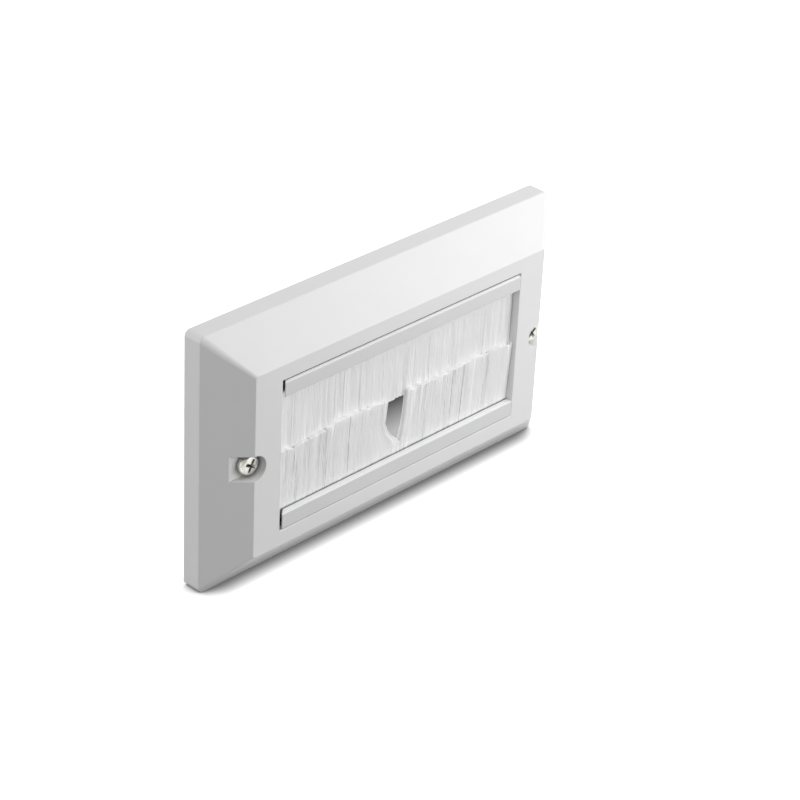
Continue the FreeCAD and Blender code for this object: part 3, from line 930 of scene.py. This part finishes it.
@dataclass
class FixingScrew:
    """Pan-head machine screw with a cross recess in its head.

    Places along it start at the head's seat and run into the wall.
    """

    node: str
    x: float
    turn: float
    seat_y: float = -12.1
    length: float = 25.0
    head_r: float = 3.5
    head_height: float = 2.7
    rim: float = 1.2
    shoulder_r: float = 2.5
    crown_flat_share: float = 0.55
    crown_steps: int = 8
    seat_chamfer: float = 0.12
    neck_r: float = 1.55
    neck_relief: float = 0.1
    core_r: float = 1.42
    point_chamfer: float = 0.5
    thread_r: float = 1.75
    pitch: float = 0.6
    thread_lead: float = 0.35
    thread_end: float = 0.6
    thread_root_share: float = 0.42
    thread_crest_share: float = 0.08
    thread_sink: float = 0.1
    thread_steps: int = 24
    drive_width: float = 4.5
    drive_slot: float = 1.0
    drive_depth: float = 1.6
    drive_taper: float = 0.45
    drive_over: float = 0.4
    drive_round: float = 0.09
    sharp_angle: float = 32.0
    merge_distance: float = 1e-4
    segments: int = 64

    def outline(self) -> list[tuple[float, float]]:
        """Half section of the screw, from the head's top to the point.

        Returns:
            Distances from the axis and places along it.
        """
        points = [(0.0, -self.head_height), (self.shoulder_r * self.crown_flat_share, -self.head_height)]
        for step in range(self.crown_steps + 1):
            rise = math.pi / 2 * (1 - step / self.crown_steps)
            points.append((
                self.shoulder_r + (self.head_r - self.shoulder_r) * math.cos(rise),
                -self.rim - (self.head_height - self.rim) * math.sin(rise)))
        wall = -self.seat_y
        points += [
            (self.head_r, -self.seat_chamfer), (self.head_r - self.seat_chamfer, 0.0),
            (self.neck_r + self.neck_relief, 0.0), (self.neck_r, self.neck_relief),
            (self.neck_r, wall - self.neck_relief), (self.core_r, wall),
            (self.core_r, self.length - self.point_chamfer),
            (self.core_r - self.point_chamfer, self.length), (0.0, self.length),
        ]
        return points

    def spun(self) -> bmesh.types.BMesh:
        """Spin the half section round the axis.

        Returns:
            The closed body, without thread or recess.
        """
        bm = bmesh.new()
        points = [bm.verts.new((radius, y, 0)) for radius, y in self.outline()]
        line = [bm.edges.new(pair) for pair in zip(points, points[1:])]
        bmesh.ops.spin(
            bm, geom=points + line, cent=(0, 0, 0), axis=(0, 1, 0), dvec=(0, 0, 0),
            angle=2 * math.pi, steps=self.segments, use_merge=True, use_duplicate=False)
        bmesh.ops.remove_doubles(bm, verts=bm.verts, dist=self.merge_distance)
        bmesh.ops.recalc_face_normals(bm, faces=bm.faces)
        return bm

    def thread(self) -> bmesh.types.BMesh:
        """Sweep the thread's ridge along its helix.

        Returns:
            The closed ridge.
        """
        bm = bmesh.new()
        start = -self.seat_y + self.thread_lead
        turns = int((self.length - self.thread_end - start) / self.pitch)
        half_root, half_crest = self.pitch * self.thread_root_share, self.pitch * self.thread_crest_share
        root_r = self.core_r - self.thread_sink
        section = [
            bm.verts.new((radius, start + y, 0)) for radius, y in (
                (root_r, -half_root), (self.thread_r, -half_crest),
                (self.thread_r, half_crest), (root_r, half_root))]
        loop = [bm.edges.new(pair) for pair in zip(section, section[1:] + section[:1])]
        first = bm.faces.new(section)
        result = bmesh.ops.spin(
            bm, geom=section + loop, cent=(0, 0, 0), axis=(0, 1, 0),
            dvec=(0, self.pitch / self.thread_steps, 0), angle=2 * math.pi * turns,
            steps=self.thread_steps * turns, use_merge=False, use_duplicate=False)
        tail = [part for part in result["geom_last"] if isinstance(part, bmesh.types.BMVert)]
        bmesh.ops.contextual_create(bm, geom=tail)
        first.normal_update()
        bmesh.ops.recalc_face_normals(bm, faces=bm.faces)
        return bm

    def drive(self) -> bmesh.types.BMesh:
        """Shape one arm of the tapering cross recess, as a cutter.

        Returns:
            The closed cutter, standing out of the head.
        """
        bm = bmesh.new()
        bmesh.ops.create_cube(bm, size=1.0)
        top, floor = -self.head_height - self.drive_over, -self.head_height + self.drive_depth
        over = 1 + self.drive_over / self.drive_depth * (1 - self.drive_taper)
        for vert in bm.verts:
            deep = vert.co.y > 0
            scale = self.drive_taper if deep else over
            vert.co = Vector((
                math.copysign(self.drive_width / 2 * scale, vert.co.x),
                floor if deep else top,
                math.copysign(self.drive_slot / 2 * scale, vert.co.z)))
        bmesh.ops.bevel(
            bm, geom=bm.edges[:], offset=self.drive_round, offset_type="OFFSET", segments=2, profile=0.5,
            affect="EDGES", material=-1, clamp_overlap=True)
        bmesh.ops.recalc_face_normals(bm, faces=bm.faces)
        return bm

    def cut_head(self) -> bpy.types.Mesh:
        """Cut the cross recess into the spun body.

        Returns:
            The body's mesh, in millimetres round its own axis.
        """
        body = link("screw_body", mesh_of("screw_body", self.spun()))
        cutters = []
        for arm in (self.turn, self.turn + 90):
            cutter = link("screw_drive", mesh_of("screw_drive", self.drive()))
            cutter.data.transform(Matrix.Rotation(math.radians(arm), 4, "Y"))
            cut = body.modifiers.new("drive", "BOOLEAN")
            cut.object = cutter
            cut.operation = "DIFFERENCE"
            cut.solver = "EXACT"
            cutters.append(cutter)
        bpy.context.view_layer.update()
        result = bpy.data.meshes.new_from_object(body.evaluated_get(bpy.context.evaluated_depsgraph_get()))
        for thing in cutters + [body]:
            bpy.data.objects.remove(thing)
        return result

    def mesh(self) -> bpy.types.Mesh:
        """Add the thread to the cut body and put the screw in its place.

        Returns:
            The screw's mesh.
        """
        result = self.cut_head()
        bm = bmesh.new()
        bm.from_mesh(result)
        merge(bm, self.thread())
        bmesh.ops.translate(bm, verts=bm.verts, vec=(self.x, self.seat_y, 0))
        bmesh.ops.scale(bm, verts=bm.verts, vec=(MM, MM, MM))
        bm.to_mesh(result)
        bm.free()
        result.shade_smooth()
        result.set_sharp_from_angle(angle=math.radians(self.sharp_angle))
        return result

    def build(self, material: bpy.types.Material) -> bpy.types.Object:
        """Make the screw as a piece.

        Args:
            material: Its finish.

        Returns:
            The piece.
        """
        return add_piece(self.node + "_detail", self.mesh(), material, (self.node,))


@dataclass
class PlateFrame:
    """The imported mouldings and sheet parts, which keep their own meshes."""

    shell: tuple[str, ...] = ("faceplate",)
    rails: tuple[str, ...] = ("upper_rail", "lower_rail")
    steel: tuple[str, ...] = (
        "upper_strip_channel", "lower_strip_channel", "upper_core_wire", "lower_core_wire")

    def build(self) -> None:
        """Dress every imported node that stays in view."""
        dress(self.shell, PLATE_PLASTIC.build())
        dress(self.rails, RAIL_PLASTIC.build())
        dress(self.steel, GALVANISED.build())


@dataclass
class PhotoCamera:
    """Camera at the reference view's angle and distance."""

    focal_px: float = 2650.73
    frame_px: float = 800.0
    sensor: float = 36.0
    clip_start: float = 10.0
    azimuth: float = -0.820655125
    elevation: float = 0.526785551
    roll: float = 0.0504187
    distance: float = 809.233
    offset_right: float = 11.136
    offset_up: float = -6.684

    def build(self) -> bpy.types.Object:
        """Place the camera and make it the scene's.

        Returns:
            The camera.
        """
        lens = bpy.data.cameras.new("view_camera")
        lens.sensor_width = self.sensor
        lens.lens = self.sensor * self.focal_px / self.frame_px
        lens.clip_start = self.clip_start * MM
        camera = link("view_camera", lens)
        azimuth, elevation = self.azimuth, self.elevation
        back = Vector((
            math.sin(azimuth) * math.cos(elevation), -math.cos(azimuth) * math.cos(elevation),
            math.sin(elevation)))
        level = Vector((math.cos(azimuth), math.sin(azimuth), 0))
        upright = back.cross(level)
        right = math.cos(self.roll) * level + math.sin(self.roll) * upright
        up = math.cos(self.roll) * upright - math.sin(self.roll) * level
        place = (back * self.distance + right * self.offset_right + up * self.offset_up) * MM
        turn = Matrix((right, up, back)).transposed().to_4x4()
        camera.matrix_world = Matrix.Translation(place) @ turn
        bpy.context.scene.camera = camera
        return camera


@dataclass
class SoftBox:
    """A square area lamp that faces the plate."""

    name: str
    direction: Place
    distance: float
    size: float
    power: float
    aim_x: float = 0.0
    aim_y: float = -10.0

    def build(self) -> bpy.types.Object:
        """Hang the lamp.

        Returns:
            The lamp.
        """
        lamp = bpy.data.lights.new(self.name, "AREA")
        lamp.shape = "SQUARE"
        lamp.size = self.size * MM
        lamp.energy = self.power
        holder = link(self.name, lamp)
        toward = Vector(self.direction).normalized()
        holder.location = (Vector((self.aim_x, self.aim_y, 0)) + toward * self.distance) * MM
        holder.rotation_euler = toward.to_track_quat("Z", "Y").to_euler()
        return holder


@dataclass
class Studio:
    """White floor, even world light, five soft boxes and a card of painted shade behind the opening.

    The floor darkens down to contact_shade beside what stands on it, as a
    painted contact shadow, and gives an even floor_glow to rays that neither
    the camera nor a reflection sends. The card behind the opening is painted
    shade for the hollow in the wall, pale below and dark above: cut_out_shade
    has the two levels and cut_out_fade the heights between which they change.
    """

    floor_z: float = -43.0
    floor_size: float = 6000.0
    floor_colour: float = 0.80
    floor_roughness: float = 0.9
    floor_glow: float = 0.077
    floor_lift: float = 0.9
    # Painted contact shadow on the floor beside what stands on it.
    contact_reach: float = 6.0
    contact_shade: float = 0.1
    contact_span: Span = (0.2, 0.95)
    contact_samples: int = 16
    # A card of painted shade for the hollow behind the opening: its size, its place, its levels and their
    # heights.
    cut_out: Span = (112.0, 60.0)
    cut_out_y: float = 0.4
    cut_out_shade: Span = (0.5, 0.07)
    cut_out_fade: Span = (-25.0, -13.0)
    ambient: float = 0.48
    lamps: tuple[SoftBox, ...] = (
        SoftBox("near_right", (0.75, -0.45, 0.5), aim_x=30.0, distance=300.0, size=200.0, power=0.18),
        SoftBox("front_right", (0.5, -0.85, 0.05), aim_x=10.0, distance=500.0, size=300.0, power=1.47),
        SoftBox("overhead", (0.2, -0.25, 1.0), aim_x=10.0, distance=450.0, size=300.0, power=0.4),
        SoftBox("rear_fill", (0.1, 1.0, 0.05), aim_y=0.0, distance=600.0, size=300.0, power=1.2),
        SoftBox("left_fill", (-1.0, 0.52, 0.1), distance=600.0, size=300.0, power=0.95),
    )

    def world(self) -> None:
        """Light evenly, and show white to the camera and in reflections."""
        sheet = NodeSheet(bpy.data.worlds.new("studio"), "OutputWorld")
        path = sheet.add("LightPath")
        shown = path.outputs["Is Camera Ray"]
        for name in ("Is Glossy Ray", "Is Transmission Ray"):
            shown = sheet.calculate("MAXIMUM", shown, path.outputs[name])
        sheet.show(sheet.add("Background", {
            "Color": WHITE, "Strength": sheet.spread(shown, self.ambient, 1.0, 0.0, 1.0)}))
        bpy.context.scene.world = sheet.owner

    def floor(self) -> None:
        """Lay the floor, lifted to white for the camera and in reflections, with a painted contact shadow
        beside what stands on it.
        """
        sheet = NodeSheet.material("studio_floor")
        path = sheet.add("LightPath")
        seen = sheet.calculate("MAXIMUM", path.outputs["Is Camera Ray"], path.outputs["Is Glossy Ray"])
        # Painted shadow: the floor darkens where something stands close by.
        open_share = sheet.openness(self.contact_reach, self.contact_samples)
        painted_contact_shadow = sheet.spread(open_share, self.contact_shade, 1.0, *self.contact_span)
        level = sheet.calculate("MULTIPLY", seen, sheet.calculate("MULTIPLY", painted_contact_shadow, self.floor_colour))
        lift = sheet.calculate("MULTIPLY", painted_contact_shadow, self.floor_lift)
        strength = sheet.spread(seen, self.floor_glow, lift, 0.0, 1.0)
        material = sheet.finish(
            Base_Color=level, Roughness=self.floor_roughness, Specular_IOR_Level=0.0,
            Emission_Color=WHITE, Emission_Strength=strength)
        bm = bmesh.new()
        bmesh.ops.create_grid(bm, x_segments=1, y_segments=1, size=self.floor_size / 2 * MM)
        bmesh.ops.translate(bm, verts=bm.verts, vec=(0, 0, self.floor_z * MM))
        mesh = mesh_of("studio_floor", bm)
        mesh.materials.append(material)
        floor = link("studio_floor", mesh)

    def painted_shade_card(self) -> None:
        """Stand a card of painted shade behind the opening, which only the camera sees from in front."""
        sheet = NodeSheet.material("painted_shade_card")
        height = sheet.add("SeparateXYZ", {"Vector": sheet.place()}).outputs["Z"]
        low, high = (edge * MM for edge in self.cut_out_fade)
        # Painted shade: the card glows dark above and pale below.
        painted_cavity_shade = sheet.add("Emission", {
            "Color": WHITE, "Strength": sheet.spread(height, *self.cut_out_shade, low, high)})
        clear = sheet.add("BsdfTransparent")
        behind = sheet.add("NewGeometry").outputs["Backfacing"]
        passing = sheet.calculate("SUBTRACT", 1.0, sheet.add("LightPath").outputs["Is Camera Ray"])
        unseen = sheet.calculate("MAXIMUM", behind, passing)
        sheet.show(sheet.add("MixShader", {0: unseen, 1: painted_cavity_shade.outputs[0], 2: clear.outputs[0]}))
        bm = bmesh.new()
        bmesh.ops.create_grid(bm, x_segments=1, y_segments=1, size=0.5 * MM)
        bmesh.ops.scale(bm, verts=bm.verts, vec=(*self.cut_out, 1))
        bmesh.ops.rotate(bm, verts=bm.verts, matrix=Matrix.Rotation(math.pi / 2, 3, "X"))
        bmesh.ops.translate(bm, verts=bm.verts, vec=(0, self.cut_out_y * MM, 0))
        mesh = mesh_of("painted_shade_card", bm)
        mesh.materials.append(sheet.owner)
        card = link("painted_shade_card", mesh)

    def build(self) -> None:
        """Set up the world, the floor, the card of painted shade and the lamps."""
        bpy.context.scene.view_settings.view_transform = "Standard"
        self.world()
        self.floor()
        self.painted_shade_card()
        for lamp in self.lamps:
            lamp.build()


def main() -> None:
    """Build the view, the finishes and every detailed piece."""
    logging.basicConfig(level=logging.INFO, format="%(message)s")
    PhotoCamera().build()
    Studio().build()
    PlateFrame().build()
    nylon = NYLON.build()
    for brush in (
        StripBrush(End.UPPER, "upper_bristles", seed=11, thin_from=44.4),
        StripBrush(
            End.LOWER, "lower_bristles", seed=23, lean=1.05, splits=(
                Split(-47.0, 0.4), Split(-43.6, 0.6), Split(-37.4, 0.5), Split(-30.5, 0.45),
                Split(-15.0, 0.25), Split(39.5, 0.35))),
    ):
        brush.build(nylon)
    nickel = NICKEL.build()
    for screw in (
        FixingScrew("left_fixing_screw", x=-HALF_SCREW_SPACING, turn=28.0),
        FixingScrew("right_fixing_screw", x=HALF_SCREW_SPACING, turn=52.0),
    ):
        screw.build(nickel)


if __name__ == "__main__":
    main()
